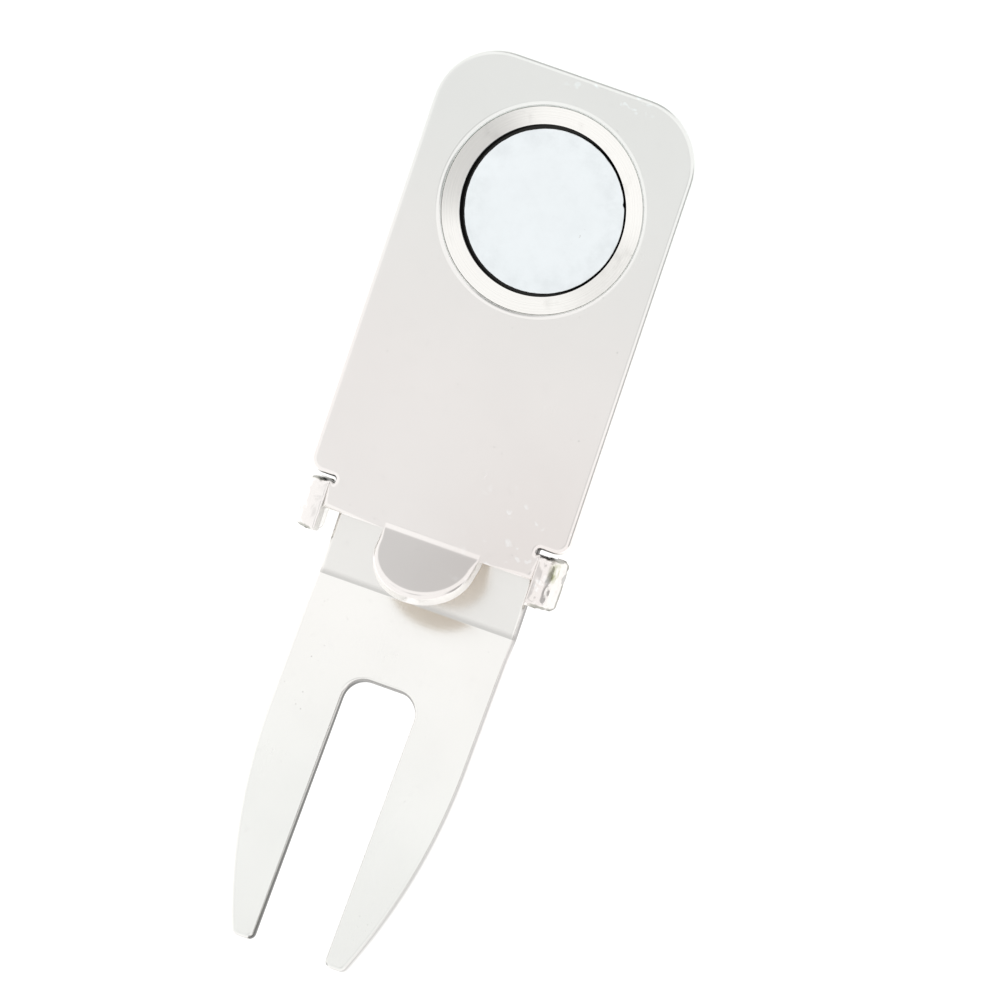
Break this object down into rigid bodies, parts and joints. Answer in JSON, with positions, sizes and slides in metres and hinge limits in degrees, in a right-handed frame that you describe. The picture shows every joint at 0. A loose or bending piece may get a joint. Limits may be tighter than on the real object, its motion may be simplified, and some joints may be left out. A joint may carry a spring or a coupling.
{
  "type": "folding divot repair tool",
  "caption": "Folding golf green repair tool: a forked steel blade pivots behind a flat handle plate with a thumb tab and a magnetic ball-marker seat.",
  "frame": {"origin": "middle of the magnet's face, where a ball marker sits", "axes": "+X across the tool, +Y along it from the prongs to the rounded end of the handle, +Z out of the front face"},
  "size_m": [0.0334, 0.1093, 0.0106],
  "materials": {
    "plate_steel": "satin stainless steel, lightly scuffed",
    "fork_steel": "satin stainless steel, bright",
    "cup_steel": "turned stainless steel, semi-bright",
    "magnet_plating": "nickel-plated magnet face, faintly mottled",
    "adhesive": "thin film of cured adhesive",
    "pin_steel": "ground steel pin, ends faced flush",
    "washer_steel": "spring steel, plain"
  },
  "bodies": {
    "handle": {"handle_plate": "plate_steel", "magnet_cup": "cup_steel", "marker_magnet": "magnet_plating", "magnet_adhesive": "adhesive", "pivot_pin_left": "pin_steel", "pivot_pin_right": "pin_steel", "washer_left": "washer_steel", "washer_right": "washer_steel"},
    "fork": {"fork": "fork_steel"}
  },
  "joints": [
    {"name": "fork_fold", "type": "hinge", "parent": "handle", "child": "fork", "pos_m": [0, -0.0405, -0.0041], "axis": [1, 0, 0], "range_deg": [0, 180]}
  ]
}
